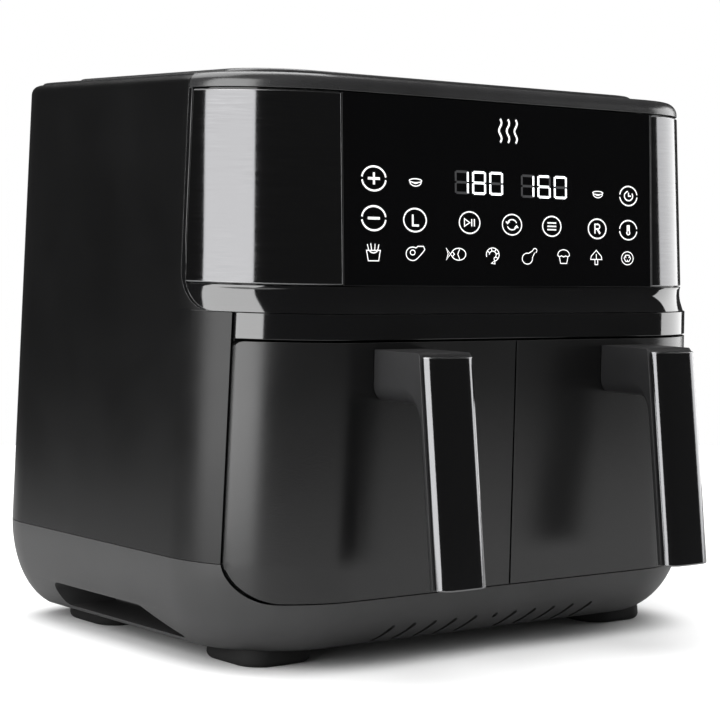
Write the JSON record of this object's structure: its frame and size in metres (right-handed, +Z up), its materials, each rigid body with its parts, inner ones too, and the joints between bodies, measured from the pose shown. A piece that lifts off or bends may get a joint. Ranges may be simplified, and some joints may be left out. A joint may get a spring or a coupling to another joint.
{
  "type": "air fryer",
  "caption": "Countertop air fryer: tapered rounded housing, glass touch panel between steel corner panels, side-by-side pull-out drawers with leaning bar handles.",
  "frame": {"origin": "middle of the footprint, on the worktop that the feet stand on", "axes": "+X across the front to the viewer's right, -Y out of the front with the drawers, +Z up"},
  "size_m": [0.362, 0.334, 0.318],
  "materials": {
    "shell_black": "fine moulded grain, matte",
    "base_grey": "satin moulded plastic",
    "lid_grey": "satin moulded plastic, polished at the rim",
    "gloss_black": "high-gloss moulded plastic",
    "control_glass": "gloss black glass printed from behind",
    "dark_steel": "dark brushed, fine horizontal grain",
    "drawer_black": "satin moulded plastic",
    "handle_grey": "satin soft-touch plastic",
    "foot_rubber": "matte moulded rubber",
    "silicone": "matte silicone",
    "nonstick": "dark non-stick coating, slightly speckled",
    "sheet_steel": "plain sheet, satin",
    "element_steel": "heat-darkened tube",
    "bright_steel": "bright wire and fasteners",
    "cast_alloy": "cast and turned, satin",
    "circuit_board": "green board with soldered parts",
    "display_dark": "smoked display module"
  },
  "bodies": {
    "housing": {"base_tub": "base_grey", "outer_shell": "shell_black", "lid": "lid_grey", "head_bezel": "gloss_black", "control_glass": "control_glass", "touch_board": "circuit_board", "power_board": "circuit_board", "trim_band": "gloss_black", "front_frame": "shell_black", "rear_grille": "shell_black", "cord_gland": "foot_rubber", "left_steel_panel": "dark_steel", "left_display": "display_dark", "left_wall_spacer": "shell_black", "left_front_foot": "foot_rubber", "left_rear_foot": "foot_rubber", "left_cavity": "sheet_steel", "left_heating_element": "element_steel", "left_heater_guard": "bright_steel", "left_temperature_sensor": "bright_steel", "left_motor_bracket": "sheet_steel", "left_fan_motor": "cast_alloy", "right_steel_panel": "dark_steel", "right_display": "display_dark", "right_wall_spacer": "shell_black", "right_front_foot": "foot_rubber", "right_rear_foot": "foot_rubber", "right_cavity": "sheet_steel", "right_heating_element": "element_steel", "right_heater_guard": "bright_steel", "right_temperature_sensor": "bright_steel", "right_motor_bracket": "sheet_steel", "right_fan_motor": "cast_alloy"},
    "left_fan": {"left_motor_shaft": "bright_steel", "left_convection_fan": "cast_alloy", "left_cooling_fan": "cast_alloy"},
    "left_drawer": {"left_drawer_front": "drawer_black", "left_drawer_carrier": "sheet_steel", "left_basket": "nonstick", "left_handle": "handle_grey", "left_handle_insert": "dark_steel", "left_upper_screw": "bright_steel", "left_lower_screw": "bright_steel"},
    "left_crisper": {"left_crisper_plate": "nonstick", "left_front_bumper": "silicone", "left_rear_bumper": "silicone"},
    "right_fan": {"right_motor_shaft": "bright_steel", "right_convection_fan": "cast_alloy", "right_cooling_fan": "cast_alloy"},
    "right_drawer": {"right_drawer_front": "drawer_black", "right_drawer_carrier": "sheet_steel", "right_basket": "nonstick", "right_handle": "handle_grey", "right_handle_insert": "dark_steel", "right_upper_screw": "bright_steel", "right_lower_screw": "bright_steel"},
    "right_crisper": {"right_crisper_plate": "nonstick", "right_front_bumper": "silicone", "right_rear_bumper": "silicone"}
  },
  "joints": [
    {"name": "left_drawer_slide", "type": "slide", "parent": "housing", "child": "left_drawer", "axis": [0, -1, 0], "range_m": [0, 0.19]},
    {"name": "left_plate_lift", "type": "slide", "parent": "left_drawer", "child": "left_crisper", "axis": [0, 0, 1], "range_m": [0, 0.08]},
    {"name": "left_fan_spin", "type": "hinge", "parent": "housing", "child": "left_fan", "pos_m": [-0.0845, 0.0328, 0.19], "axis": [0, 0, 1], "continuous": true},
    {"name": "right_drawer_slide", "type": "slide", "parent": "housing", "child": "right_drawer", "axis": [0, -1, 0], "range_m": [0, 0.19]},
    {"name": "right_plate_lift", "type": "slide", "parent": "right_drawer", "child": "right_crisper", "axis": [0, 0, 1], "range_m": [0, 0.08]},
    {"name": "right_fan_spin", "type": "hinge", "parent": "housing", "child": "right_fan", "pos_m": [0.0845, 0.0328, 0.19], "axis": [0, 0, 1], "continuous": true}
  ]
}
